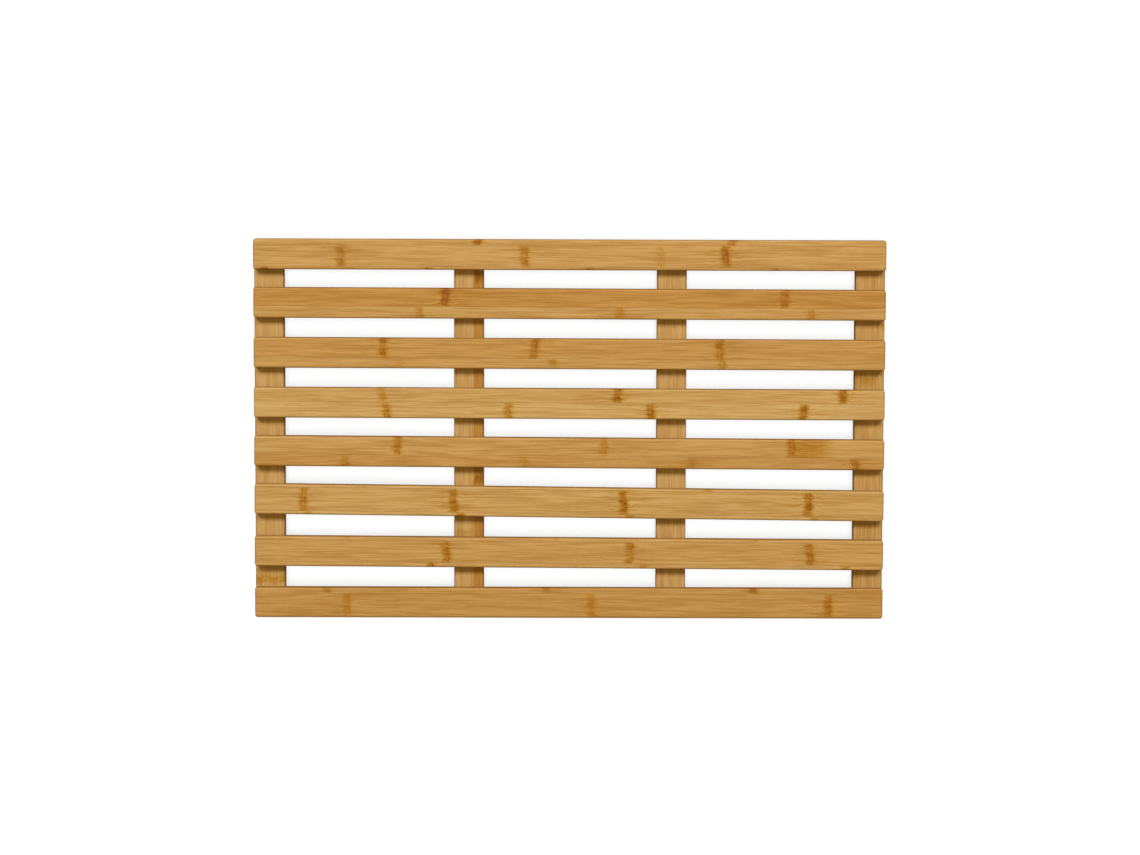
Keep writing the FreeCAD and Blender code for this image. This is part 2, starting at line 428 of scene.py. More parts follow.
def laminated_bamboo():
    """Laminated bamboo, planed, sanded and oiled. Fine parallel bundles of fibre give a satin face with
    straight streaks, which bend and darken at each knuckle. Glue shows as a hairline between strips."""
    material, tree = bare_material("laminated_bamboo")
    number, ramp, mix = "ShaderNodeMath", "ShaderNodeMapRange", "ShaderNodeMix"
    eased = {"interpolation_type": "SMOOTHSTEP"}
    tint = {"data_type": "RGBA", "blend_type": "MULTIPLY"}
    sway = {1: 5.0, 2: -2.5}      # multiplied and added, these make noise a shift of 2.5 mm either way

    # Millimetres along and across the fibres, where the nearest knuckle and glue lines are, and a depth in
    # the noise that is each strip's own.
    fibre = add(tree, "ShaderNodeUVMap", uv_map="fibre")
    along, across, _ = add(tree, "ShaderNodeSeparateXYZ", {0: fibre}).outputs
    strip = add(tree, "ShaderNodeAttribute", attribute_name="strip").outputs["Fac"]
    tone = add(tree, "ShaderNodeAttribute", attribute_name="tone").outputs["Color"]
    knuckle = add(tree, "ShaderNodeAttribute", attribute_name="knuckle").outputs["Vector"]
    at, dark, trail = add(tree, "ShaderNodeSeparateXYZ", {0: knuckle}).outputs
    joint = add(tree, "ShaderNodeAttribute", attribute_name="joints").outputs["Vector"]
    back, front, _ = add(tree, "ShaderNodeSeparateXYZ", {0: joint}).outputs
    depth = add(tree, number, {0: strip, 1: 11.7}, operation="MULTIPLY")

    def figure(long, wide, over=across, detail=2.0, roughness=0.5):
        """Noise whose marks are about long by wide millimetres, different in every strip."""
        x = add(tree, number, {0: along, 1: long}, operation="DIVIDE")
        y = add(tree, number, {0: over, 1: wide}, operation="DIVIDE")
        place = add(tree, "ShaderNodeCombineXYZ", {0: x, 1: y, 2: depth})
        return add(
            tree,
            "ShaderNodeTexNoise",
            {"Vector": place, "Scale": 1.0, "Detail": detail, "Roughness": roughness},
        ).outputs["Fac"]

    # Fibres wander by a millimetre or two down the strip, and swirl within 20 mm of a knuckle.
    lean = add(tree, number, {0: figure(40, 7, detail=1.0), **sway}, operation="MULTIPLY_ADD")
    bent = add(tree, number, {0: along, 1: lean}, operation="ADD")
    away = add(tree, number, {0: bent, 1: at}, operation="SUBTRACT")
    share = add(tree, number, {0: away, 1: 17.0}, operation="DIVIDE")
    squared = add(tree, number, {0: share, 1: share}, operation="MULTIPLY")
    falling = add(tree, number, {0: squared, 1: -1.0}, operation="MULTIPLY")
    closeness = add(tree, number, {0: falling}, operation="EXPONENT")
    near = add(tree, number, {0: closeness, 1: dark}, operation="MULTIPLY")
    drift = add(tree, number, {0: figure(130, 16, detail=1.0), **sway}, operation="MULTIPLY_ADD")
    drifted = add(tree, number, {0: across, 1: drift}, operation="ADD")
    curl = add(tree, number, {0: figure(7, 4), **sway}, operation="MULTIPLY_ADD")
    threads = add(tree, number, {0: curl, 1: near, 2: drifted}, operation="MULTIPLY_ADD")

    # Streaks of many bundles together, single bundles, and the pores beside them.
    streak = figure(45, 1.3, threads, detail=3.0, roughness=0.65)
    broad = figure(75, 6.0, threads)
    bundle = figure(30, 0.6, threads)
    pore = figure(5, 0.2, threads, detail=1.0)

    # How far the nearest glue line is, across the fibres.
    past_back = add(tree, number, {0: across, 1: back}, operation="SUBTRACT")
    to_back = add(tree, number, {0: past_back}, operation="ABSOLUTE")
    past_front = add(tree, number, {0: across, 1: front}, operation="SUBTRACT")
    to_front = add(tree, number, {0: past_front}, operation="ABSOLUTE")
    to_joint = add(tree, number, {0: to_back, 1: to_front}, operation="MINIMUM")

    # A knuckle is two ragged rows of small dark knots, where the bundles cross over.
    wobble = add(tree, number, {0: figure(400, 1.8), **sway}, operation="MULTIPLY_ADD")
    off = add(tree, number, {0: away, 1: wobble}, operation="ADD")
    past_row = add(tree, number, {0: off, 1: 1.4}, operation="SUBTRACT")
    to_row = add(tree, number, {0: past_row}, operation="ABSOLUTE")
    row = add(tree, ramp, {0: to_row, 1: 0.6, 2: 2.3, 3: 1.0, 4: 0.0}, **eased)
    past_other = add(tree, number, {0: off, 1: 1.9}, operation="ADD")
    to_other = add(tree, number, {0: past_other}, operation="ABSOLUTE")
    other = add(tree, ramp, {0: to_other, 1: 0.5, 2: 2.1, 3: 0.8, 4: 0.0}, **eased)
    rows = add(tree, number, {0: row, 1: other}, operation="MAXIMUM")
    speckle = add(tree, ramp, {0: figure(2.6, 1.6, detail=1.0), 1: 0.34, 2: 0.6, 3: 1.0, 4: 0.5}, **eased)
    knots = add(tree, number, {0: rows, 1: speckle}, operation="MULTIPLY")

    # The knots lie in a golden smudge, which feathers out along the darker streaks.
    apart = add(tree, number, {0: off}, operation="ABSOLUTE")
    around = add(tree, ramp, {0: apart, 1: 0.5, 2: 7.0, 3: 0.7, 4: 0.0}, **eased)
    patches = add(tree, ramp, {0: figure(9, 3.5), 1: 0.35, 2: 0.6, 3: 1.0, 4: 0.45}, **eased)
    halo = add(tree, number, {0: around, 1: patches}, operation="MULTIPLY")
    fading = add(tree, ramp, {0: apart, 1: 2.0, 2: 24.0, 3: 0.3, 4: 0.0})
    dark_streaks = add(tree, ramp, {0: streak, 1: 0.36, 2: 0.56, 3: 1.0, 4: 0.0}, **eased)
    feather = add(tree, number, {0: fading, 1: dark_streaks}, operation="MULTIPLY")
    smudge = add(tree, number, {0: feather, 1: 0.7, 2: halo}, operation="MULTIPLY_ADD")
    darkest = add(tree, number, {0: knots, 1: smudge}, operation="MAXIMUM")

    # It is faint beside a glue line, and where the strip was planed deeper.
    ragged = add(tree, number, {0: figure(9, 3.0), 1: 2.0, 2: to_joint}, operation="MULTIPLY_ADD")
    shallow = add(tree, ramp, {0: ragged, 1: 0.8, 2: 3.8, 3: 0.45, 4: 1.0}, **eased)
    planed = add(tree, ramp, {0: figure(70, 7, detail=1.0), 1: 0.34, 2: 0.56, 3: 0.6, 4: 1.15}, **eased)
    left = add(tree, number, {0: darkest, 1: shallow}, operation="MULTIPLY")
    uneven = add(tree, number, {0: left, 1: planed}, operation="MULTIPLY")
    grown_so = add(tree, number, {0: uneven, 1: dark}, operation="MULTIPLY")
    grown_dark = add(tree, number, {0: grown_so, 1: 1.2}, operation="MINIMUM")

    # From a few knuckles a mottled stain runs out to one side.
    along_trail = add(tree, number, {0: away, 1: trail}, operation="DIVIDE")
    starting = add(tree, ramp, {0: along_trail, 1: 0.0, 2: 0.06}, **eased)
    ending = add(tree, ramp, {0: along_trail, 1: 0.55, 2: 1.05, 3: 1.0, 4: 0.0}, **eased)
    ends = add(tree, number, {0: starting, 1: ending}, operation="MULTIPLY")
    mottle = add(tree, ramp, {0: figure(9, 1.5, detail=3.0), 1: 0.36, 2: 0.6, 3: 0.6, 4: 0.3}, **eased)
    mottled = add(tree, number, {0: ends, 1: mottle}, operation="MULTIPLY")
    trailing = add(tree, number, {0: mottled, 1: dark}, operation="MULTIPLY")
    stain = add(tree, number, {0: grown_dark, 1: trailing}, operation="MAXIMUM")

    # The strip's own tone is paler and browner by turns along its bundles, and burnt by the stain.
    pale = add(tree, mix, {0: 1.0, 1: tone, 2: linear("fffffb")}, **tint)
    brown = add(tree, mix, {0: 1.0, 1: tone, 2: linear("e2d4b4")}, **tint)
    both_sizes = add(tree, number, {0: broad, 1: bundle}, operation="ADD")
    their_part = add(tree, number, {0: both_sizes, 1: 0.25}, operation="MULTIPLY")
    weight = add(tree, number, {0: streak, 1: 0.5, 2: their_part}, operation="MULTIPLY_ADD")
    paleness = add(tree, ramp, {0: weight, 1: 0.39, 2: 0.6}, **eased)
    grain = add(tree, mix, {0: paleness, 1: brown, 2: pale}, data_type="RGBA")
    burnt = add(tree, "ShaderNodeGamma", {"Color": linear("c2992e"), "Gamma": stain})
    grown = add(tree, mix, {0: 1.0, 1: grain, 2: burnt}, **tint)

    # Painted shade: where a face turns away from straight up or down, on the rounded edges and the narrow
    # sides, its colour is darkened.
    normal = add(tree, "ShaderNodeNewGeometry").outputs["Normal"]
    facing = add(tree, "ShaderNodeSeparateXYZ", {0: normal}).outputs["Z"]
    level = add(tree, number, {0: facing}, operation="ABSOLUTE")
    painted_side_shade = add(tree, ramp, {0: level, 1: 0.5, 2: 0.86, 3: 0.7, 4: 0.0}, **eased)
    side_shaded_colour = add(tree, mix, {0: painted_side_shade, 1: grown, 2: linear("d2bd98")}, **tint)

    # The glue line is a hairline; it is drawn 0.3 mm wide, as thin as still shows.
    glue = add(tree, ramp, {0: to_joint, 1: 0.1, 2: 0.35, 3: 0.35, 4: 0.0}, **eased)
    open_pores = add(tree, ramp, {0: pore, 1: 0.6, 2: 0.75}, **eased)
    pores = add(tree, number, {0: open_pores, 1: 0.25}, operation="MULTIPLY")
    marks = add(tree, number, {0: glue, 1: pores}, operation="MAXIMUM")
    colour = add(tree, mix, {0: marks, 1: side_shaded_colour, 2: linear("6b4420")}, data_type="RGBA")

    # Bundles stand a little proud, and pores and glue lines lie below them.
    raised = add(tree, number, {0: bundle, 1: 0.6}, operation="MULTIPLY")
    relief = add(tree, number, {0: pore, 1: -0.4, 2: raised}, operation="MULTIPLY_ADD")
    height = add(tree, number, {0: marks, 1: -0.8, 2: relief}, operation="MULTIPLY_ADD")
    bump = add(tree, "ShaderNodeBump", {"Strength": 0.5, "Distance": 0.04 * MM, "Height": height})
    gloss = add(tree, ramp, {0: bundle, 1: 0.3, 2: 0.7, 3: 0.42, 4: 0.54}, **eased)
    surface = add(
        tree,
        "ShaderNodeBsdfPrincipled",
        {"Base Color": colour, "Roughness": gloss, "IOR": 1.45, "Specular IOR Level": 0.35, "Normal": bump},
    )
    add(tree, "ShaderNodeOutputMaterial", {"Surface": surface})
    return material


def cut_bamboo():
    """The same bamboo sawn across and sanded: each fibre bundle's end is a dark dot in paler pith, crowded
    towards the stem's skin. The oil soaks in here, so the ends are duller and a little darker."""
    material, tree = bare_material("bamboo_end_grain")
    tone = add(tree, "ShaderNodeAttribute", attribute_name="tone").outputs["Color"]
    place = add(tree, "ShaderNodeTexCoord").outputs["Object"]
    dots = add(
        tree, "ShaderNodeTexVoronoi", {"Vector": place, "Scale": 1 / (0.75 * MM), "Randomness": 0.8}
    ).outputs["Distance"]
    cloud = add(tree, "ShaderNodeTexNoise", {"Vector": place, "Scale": 1 / (3 * MM), "Detail": 2.0})
    size = add(
        tree,
        "ShaderNodeMapRange",
        {"Value": cloud.outputs["Fac"], "From Min": 0.3, "From Max": 0.7, "To Min": 0.18, "To Max": 0.42},
    )
    inside = add(tree, "ShaderNodeMath", {0: size, 1: dots}, operation="SUBTRACT")
    dot = add(tree, "ShaderNodeMapRange", {"Value": inside, "From Min": -0.08, "From Max": 0.08})
    shade = add(
        tree, "ShaderNodeMix", {0: dot, 1: linear("f2e9d8"), 2: linear("a57c4d")}, data_type="RGBA"
    )
    colour = add(
        tree, "ShaderNodeMix", {0: 1.0, 1: tone, 2: shade}, data_type="RGBA", blend_type="MULTIPLY"
    )
    bump = add(tree, "ShaderNodeBump", {"Strength": 0.4, "Distance": 0.05 * MM, "Height": dot})
    surface = add(
        tree,
        "ShaderNodeBsdfPrincipled",
        {"Base Color": colour, "Roughness": 0.62, "IOR": 1.5, "Normal": bump},
    )
    add(tree, "ShaderNodeOutputMaterial", {"Surface": surface})
    return material


bar = planed_bar()
drill = drill_tree()
bamboo = laminated_bamboo()
end_grain = cut_bamboo()


def face_ends(mesh, length):
    """Gives a bar that lies along X its second material: end grain, on the sawn ends."""
    mesh.materials.append(end_grain)
    for face in mesh.polygons:
        at_end = abs(face.center.x) > (length / 2 - END_REACH) * MM
        face.material_index = 1 if at_end and abs(face.normal.x) > END_FACING else 0


def middle_of(node):
    """The middle of a CAD node's box, in metres."""
    low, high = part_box(node)
    return (Vector(low) + Vector(high)) / 2


screw_places = {side: [] for side in SIDES}
for number, (name, faces) in enumerate(SLAT_FACES.items()):
    low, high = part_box(name)
    middle = middle_of(name)
    thickness = (high[2] - low[2]) / MM
    # A slat that leans fills a box deeper than itself, which tells how far it leans.
    spare = (high[1] - low[1]) / MM - SLAT_WIDTH
    skew = -spare / (SLAT_LENGTH - 2 * SLAT_CORNER)
    holes = []
    for side in SIDES:
        x = middle_of(f"batten_{side}").x
        screw_places[side].append((x, middle.y + x * math.tan(skew), 0))
        holes.append((x / math.cos(skew), 0, 0))
    under = -thickness / 2
    pilots = made_by(
        drill,
        "drills",
        profile_of(
            (0, under - OVERCUT),
            (PILOT_RADIUS, under - OVERCUT),
            (PILOT_RADIUS, under + PILOT_DEPTH - PILOT_TIP),
            (TIP_RADIUS, under + PILOT_DEPTH),
            (0, under + PILOT_DEPTH),
        ),
        Segments=HOLE_SEGMENTS,
        Places=holes,
    )
    outward(pilots.data)
    slat = made_by(
        bar,
        f"bamboo_{name}",
        [],
        Size=Vector((SLAT_LENGTH, SLAT_WIDTH, thickness)) * MM,
        Cells=SLAT_CELLS,
        Corner=SLAT_CORNER * MM,
        Top_round=SLAT_TOP_ROUND * MM,
        Under_round=SLAT_UNDER_ROUND * MM,
        Drills=pilots,
        Material=bamboo,
    )
    discard(pilots)
    outward(slat.data)
    chance = random.Random(number)
    lay_up(slat.data, faces, hidden_ply(chance, SLAT_WIDTH, SLAT_LENGTH), thickness, number)
    face_ends(slat.data, SLAT_LENGTH)
    slat.data.transform(Matrix.Translation(middle) @ Matrix.Rotation(skew, 4, "Z"))
    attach(slat, "root")
    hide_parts(name)


# ---- Battens -------------------------------------------------------------------------------------------
# Four bearers of the same laminated bamboo, planed to 28.3 x 13 mm and rounded on every edge, that carry
# the slats from the back one to the front one. Each is drilled right through and countersunk from below
# for the screw of every slat, and bored for the screws of its two feet.

BATTEN_WIDTH = 28.3
BATTEN_CORNER = 2.5
BATTEN_ROUND = 2.0
HOLE_RADIUS = 1.9
MOUTH_RADIUS = 3.6            # the straight mouth of a countersink, and how deep it is
MOUTH_DEPTH = 0.8
SINK_RADIUS = 3.5
SINK_DEPTH = 1.6
FOOT_PILOT_RADIUS = 1.5
FOOT_PILOT_DEPTH = 9.4
FOOT_PILOT_TIP = 2.5
BATTEN_CELLS = (36, 24, 3)
BATTEN_SEED = 100             # the battens' random draws are seeded from here,
BATTEN_NUMBER = 20            # and their strips numbered from here, clear of the slats'

# The strips of each batten's face from left to right, given as a slat's are. A knuckle's place is counted
# from the batten's middle towards the back.
BATTEN_FACES = {
    "left_outer": [
        (28.3, 1, [(-145, SOFT)]),
    ],
    "left_inner": [
        (19.0, 1, [(-100, FAINT)]),
        (9.3, 5, [(144, CLEAR), (-48, CLEAR)]),
    ],
    "right_inner": [
        (28.3, 1, [(-20, FAINT)]),
    ],
    "right_outer": [
        (21.0, 2, [(47, SOFT), (-130, FAINT)]),
        (7.3, 1, [(100, FAINT)]),
    ],
}

for number, (side, faces) in enumerate(BATTEN_FACES.items()):
    name = f"batten_{side}"
    low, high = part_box(name)
    middle = middle_of(name)
    length = (high[1] - low[1]) / MM
    thickness = (high[2] - low[2]) / MM
    under = -thickness / 2
    slat_holes = made_by(
        drill,
        "drills",
        profile_of(
            (0, under - OVERCUT),
            (MOUTH_RADIUS, under - OVERCUT),
            (MOUTH_RADIUS, under + MOUTH_DEPTH),
            (SINK_RADIUS, under + MOUTH_DEPTH),
            (HOLE_RADIUS, under + MOUTH_DEPTH + SINK_DEPTH),
            (HOLE_RADIUS, OVERCUT - under),
            (0, OVERCUT - under),
        ),
        Segments=HOLE_SEGMENTS,
        Places=[(y - middle.y, 0, 0) for _, y, _ in screw_places[side]],
    )
    foot_holes = made_by(
        drill,
        "drills",
        profile_of(
            (0, under - OVERCUT),
            (FOOT_PILOT_RADIUS, under - OVERCUT),
            (FOOT_PILOT_RADIUS, under + FOOT_PILOT_DEPTH - FOOT_PILOT_TIP),
            (TIP_RADIUS, under + FOOT_PILOT_DEPTH),
            (0, under + FOOT_PILOT_DEPTH),
        ),
        Segments=HOLE_SEGMENTS,
        Places=[(middle_of(f"foot_{side}_{end}").y - middle.y, 0, 0) for end in ("back", "front")],
    )
    holes = bmesh.new()
    holes.from_mesh(slat_holes.data)
    holes.from_mesh(foot_holes.data)
    holes.to_mesh(slat_holes.data)
    holes.free()
    outward(slat_holes.data)
    batten = made_by(
        bar,
        f"bamboo_{name}",
        [],
        Size=Vector((length, BATTEN_WIDTH, thickness)) * MM,
        Cells=BATTEN_CELLS,
        Corner=BATTEN_CORNER * MM,
        Top_round=BATTEN_ROUND * MM,
        Under_round=BATTEN_ROUND * MM,
        Drills=slat_holes,
        Material=bamboo,
    )
    discard(slat_holes)
    discard(foot_holes)
    outward(batten.data)
    chance = random.Random(BATTEN_SEED + number)
    hidden = hidden_ply(chance, BATTEN_WIDTH, length)
    lay_up(batten.data, faces, hidden, thickness, BATTEN_NUMBER + number)
    face_ends(batten.data, length)
    batten.data.transform(Matrix.Translation(middle) @ Matrix.Rotation(math.radians(90), 4, "Z"))
    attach(batten, "root")
    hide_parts(name)


# ---- Slat screws ---------------------------------------------------------------------------------------
# Thirty-two countersunk 3.5 x 20 wood screws of stainless steel, cold-headed and with rolled threads. A
# cross-point driver sends them up through the battens into the slats, until their heads lie half a
# millimetre deep.

SCREW_LENGTH = 20.0
SCREW_HEAD = 3.5              # radii, as are the next three
SCREW_NECK = 1.75
SCREW_SHANK = 1.3
SCREW_THREAD = 1.75
SCREW_RIM = 0.3
SCREW_EDGE = (0.15, 0.12)     # how far in and up the head's edge is broken
SCREW_WAIST = 0.6             # from the neck to the full thinness of the shank
SCREW_PITCH = 1.35
SCREW_TIP = 3.5
THREAD_STEPS = 16             # points in each turn of the thread
THREAD_GAP = 1.5              # plain shank between the head and the thread
THREAD_SHORT = 0.5            # the thread ends this far short of the point
CROSS_ARM = 0.9
CROSS_SPAN = 4.0
CROSS_DEPTH = 1.3


def screw_tree():
    """The tree that makes screws, which point upwards: a turned blank with a rolled thread and a driver's
    cross, repeated at the given places and each turned by chance, as it came to rest."""
    tree, given = geometry_tree(
        "Wood screws",
        {
            "Geometry": "Geometry",
            "Segments": "Int",
            "Places": "Object",
            "Face": "Float",
            "Cross": "Vector",
            "Shank": "Float",
            "Thread": "Float",
            "Thread start": "Float",
            "Pitch": "Float",
            "Tip start": "Float",
            "Thread end": "Float",
            "Seed": "Int",
            "Material": "Material",
        },
    )
    number = "ShaderNodeMath"
    blank = turned(tree, given["Geometry"], given["Segments"])

    # The thread is a three-cornered ridge that winds up the shank and runs in towards the point.
    reach = add(tree, number, {0: given["Thread end"], 1: given["Thread start"]}, operation="SUBTRACT")
    turns = add(tree, number, {0: reach, 1: given["Pitch"]}, operation="DIVIDE")
    coil = add(
        tree,
        "GeometryNodeCurveSpiral",
        {
            "Resolution": THREAD_STEPS,
            "Rotations": turns,
            "Start Radius": 1.0,
            "End Radius": 1.0,
            "Height": reach,
        },
    )
    rise = add(tree, "ShaderNodeSeparateXYZ", {0: add(tree, "GeometryNodeInputPosition")}).outputs
    level = add(tree, number, {0: rise["Z"], 1: given["Thread start"]}, operation="ADD")
    radius = add(
        tree,
        "ShaderNodeMapRange",
        {
            "Value": level,
            "From Min": given["Tip start"],
            "From Max": given["Thread end"],
            "To Min": given["Shank"],
            "To Max": TIP_RADIUS * MM,
        },
    )
    spread = add(tree, number, {0: rise["X"], 1: radius}, operation="MULTIPLY")
    spread_y = add(tree, number, {0: rise["Y"], 1: radius}, operation="MULTIPLY")
    path = add(tree, "ShaderNodeCombineXYZ", {0: spread, 1: spread_y, 2: level})
    wound = add(tree, "GeometryNodeSetPosition", {"Geometry": coil, "Position": path})
    upright = add(tree, "GeometryNodeSetCurveNormal", {"Curve": wound}, mode="Z_UP")

    # It is thin where it starts, and thins again as it nears the point.
    share = add(tree, "GeometryNodeSplineParameter").outputs["Factor"]
    fading_in = add(tree, "ShaderNodeMapRange", {"Value": share, "From Max": 0.06, "To Min": 0.2})
    fading_out = add(
        tree,
        "ShaderNodeMapRange",
        {"Value": share, "From Min": 0.8, "From Max": 0.97, "To Min": 1.0, "To Max": 0.15},
    )
    size = add(tree, number, {0: fading_in, 1: fading_out}, operation="MULTIPLY")
    faded = add(tree, "GeometryNodeSetCurveRadius", {"Curve": upright, "Radius": size})
    height = add(tree, number, {0: given["Thread"], 1: given["Shank"]}, operation="SUBTRACT")
    section = add(tree, "GeometryNodeCurvePrimitiveCircle", {"Resolution": 3, "Radius": height})
    ridge = add(
        tree, "GeometryNodeCurveToMesh", {"Curve": faded, "Profile Curve": section, "Fill Caps": True}
    )
    threaded = add(
        tree, "GeometryNodeMeshBoolean", {"Mesh": [blank, ridge]}, operation="UNION", solver="MANIFOLD"
    )

    # The cross narrows as it goes in, as the driver's point does.
    span, arm, depth = add(tree, "ShaderNodeSeparateXYZ", {0: given["Cross"]}).outputs
    tall = add(tree, number, {0: depth, 1: 2.0}, operation="MULTIPLY")
    blades = []
    for along, wide in ((span, arm), (arm, span)):
        size = add(tree, "ShaderNodeCombineXYZ", {0: along, 1: wide, 2: tall})
        blade = add(tree, "GeometryNodeMeshCube", {"Size": size})
        corner = add(tree, "GeometryNodeInputPosition")
        inside = add(tree, "ShaderNodeSeparateXYZ", {0: corner}).outputs["Z"]
        narrowing = add(
            tree, "ShaderNodeMapRange", {"Value": inside, "From Max": depth, "To Min": 1.0, "To Max": 0.5}
        )
        scale = add(tree, "ShaderNodeCombineXYZ", {0: narrowing, 1: narrowing, 2: 1.0})
        moved = add(tree, "ShaderNodeCombineXYZ", {2: given["Face"]})
        place = add(
            tree, "ShaderNodeVectorMath", {0: corner, 1: scale, 2: moved}, operation="MULTIPLY_ADD"
        )
        blades.append(add(tree, "GeometryNodeSetPosition", {"Geometry": blade, "Position": place}))
    crossed = add(
        tree,
        "GeometryNodeMeshBoolean",
        {"Mesh 1": threaded, "Mesh 2": blades},
        operation="DIFFERENCE",
        solver="MANIFOLD",
    )
    own = add(
        tree,
        "GeometryNodeStoreNamedAttribute",
        {"Geometry": crossed, "Name": "turned", "Value": add(tree, "GeometryNodeInputPosition")},
        data_type="FLOAT_VECTOR",
    )
    places = add(tree, "GeometryNodeObjectInfo", {"Object": given["Places"]}).outputs["Geometry"]
    turn = add(tree, "FunctionNodeRandomValue", {"Max": math.tau, "Seed": given["Seed"]}, data_type="FLOAT")
    heading = add(tree, "ShaderNodeCombineXYZ", {2: turn})
    placed = add(
        tree, "GeometryNodeInstanceOnPoints", {"Points": places, "Instance": own, "Rotation": heading}
    )
    close_tree(tree, placed, given["Material"])
    return tree


def stainless_steel():
    """Stainless steel, cold-headed and rolled, then tumbled clean: a soft grey shine with faint rings left
    by the dies, 0.35 mm apart, and a little duller where the tumbling reached."""
    material, tree = bare_material("cold_headed_stainless_steel")
    own = add(tree, "ShaderNodeAttribute", attribute_name="turned").outputs["Vector"]
    level = add(tree, "ShaderNodeVectorMath", {0: own, 1: (1, 1, 0)}, operation="MULTIPLY")
    radius = add(tree, "ShaderNodeVectorMath", {0: level}, operation="LENGTH").outputs["Value"]
    count = add(tree, "ShaderNodeMath", {0: radius, 1: 1 / (0.35 * MM)}, operation="MULTIPLY")
    streak = add(tree, "ShaderNodeTexNoise", {"W": count, "Scale": 1.0}, noise_dimensions="1D")
    rings = streak.outputs["Fac"]
    place = add(tree, "ShaderNodeTexCoord").outputs["Object"]
    marks = {"Vector": place, "Scale": 1 / (0.8 * MM), "Detail": 3.0}
    tumbled = add(tree, "ShaderNodeTexNoise", marks).outputs["Fac"]
    colour = add(
        tree, "ShaderNodeMix", {0: tumbled, 1: linear("b9b6b0"), 2: linear("d2d0cb")}, data_type="RGBA"
    )
    gloss = add(tree, "ShaderNodeMapRange", {"Value": tumbled, "To Min": 0.24, "To Max": 0.42})
    bump = add(tree, "ShaderNodeBump", {"Strength": 0.3, "Distance": 0.03 * MM, "Height": rings})
    surface = add(
        tree,
        "ShaderNodeBsdfPrincipled",
        {"Base Color": colour, "Metallic": 1.0, "Roughness": gloss, "Normal": bump},
    )
    add(tree, "ShaderNodeOutputMaterial", {"Surface": surface})
    return material


screws = screw_tree()
steel = stainless_steel()
for number, side in enumerate(SIDES):
    name = f"slat_screws_{side}"
    low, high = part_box(name)
    face = low[2] / MM
    rim = face + SCREW_RIM
    neck = rim + SCREW_HEAD - SCREW_NECK
    point = face + SCREW_LENGTH
    piece = made_by(
        screws,
        f"steel_{name}",
        profile_of(
            (0, face),
            (SCREW_HEAD - SCREW_EDGE[0], face),
            (SCREW_HEAD, face + SCREW_EDGE[1]),
            (SCREW_HEAD, rim),
            (SCREW_NECK, neck),
            (SCREW_SHANK, neck + SCREW_WAIST),
            (SCREW_SHANK, point - SCREW_TIP),
            (TIP_RADIUS, point),
            (0, point),
        ),
        Segments=HOLE_SEGMENTS,
        Places=screw_places[side],
        Face=face * MM,
        Cross=Vector((CROSS_SPAN, CROSS_ARM, CROSS_DEPTH)) * MM,
        Shank=SCREW_SHANK * MM,
        Thread=SCREW_THREAD * MM,
        Thread_start=(neck + THREAD_GAP) * MM,
        Pitch=SCREW_PITCH * MM,
        Tip_start=(point - SCREW_TIP) * MM,
        Thread_end=(point - THREAD_SHORT) * MM,
        Seed=number,
        Material=steel,
    )
    outward(piece.data)
    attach(piece, "root")
    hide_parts(name)


# ---- Rubber feet ---------------------------------------------------------------------------------------
# Eight dark grey synthetic rubber feet under the battens, moulded as tapered discs 20 mm across. Each has a
# deep recess for its screw and, on the face that grips the floor, a ring groove with eight short slots
# leading out.

FOOT_RADIUS = 10.0
FOOT_HEIGHT = 5.0
FOOT_TAPER = 0.8
FOOT_EDGE = 1.0
FOOT_RIM = 0.3                # the small round that the mould leaves on every other edge
BORE_RADIUS = 1.5             # the screw's way through the middle
RECESS_RADIUS = 4.0
RECESS_DEPTH = 2.4
GROOVE_RADIUS = 6.6
GROOVE_WIDTH = 0.9
GROOVE_DEPTH = 0.6
GROOVE_RIM = 0.2              # the small round on each side of the groove
SLOT_COUNT = 8
SLOT_SIZE = (3.4, 0.9, 0.9)
FOOT_SEGMENTS = 64


def arc(radius, height, bend, start, end, steps=4):
    """Profile points round a quarter turn, or any other, of a small bend. The angles are in degrees."""
    turns = [math.radians(start + (end - start) * step / steps) for step in range(steps + 1)]
    return [(radius + bend * math.cos(turn), height + bend * math.sin(turn)) for turn in turns]


def foot_tree():
    """The tree that makes moulded feet: a turned disc, with its grip slots cut by blocks set in a ring."""
    tree, given = geometry_tree(
        "Feet",
        {
            "Geometry": "Geometry",
            "Segments": "Int",
            "Places": "Object",
            "Slots": "Int",
            "Slot size": "Vector",
            "Slot radius": "Float",
            "Material": "Material",
        },
    )
    disc = turned(tree, given["Geometry"], given["Segments"])
    ring = add(
        tree, "GeometryNodeMeshCircle", {"Vertices": given["Slots"], "Radius": given["Slot radius"]}
    )
    around = add(tree, "GeometryNodeInputPosition")
    outwards = add(tree, "FunctionNodeAlignRotationToVector", {"Vector": around}, axis="X")
    block = add(tree, "GeometryNodeMeshCube", {"Size": given["Slot size"]})
    blocks = add(
        tree, "GeometryNodeInstanceOnPoints", {"Points": ring, "Instance": block, "Rotation": outwards}
    )
    cutters = add(tree, "GeometryNodeRealizeInstances", {0: blocks})
    slotted = add(
        tree,
        "GeometryNodeMeshBoolean",
        {"Mesh 1": disc, "Mesh 2": cutters},
        operation="DIFFERENCE",
        solver="MANIFOLD",
    )
    places = add(tree, "GeometryNodeObjectInfo", {"Object": given["Places"]}).outputs["Geometry"]
    placed = add(tree, "GeometryNodeInstanceOnPoints", {"Points": places, "Instance": slotted})
    close_tree(tree, placed, given["Material"])
    return tree


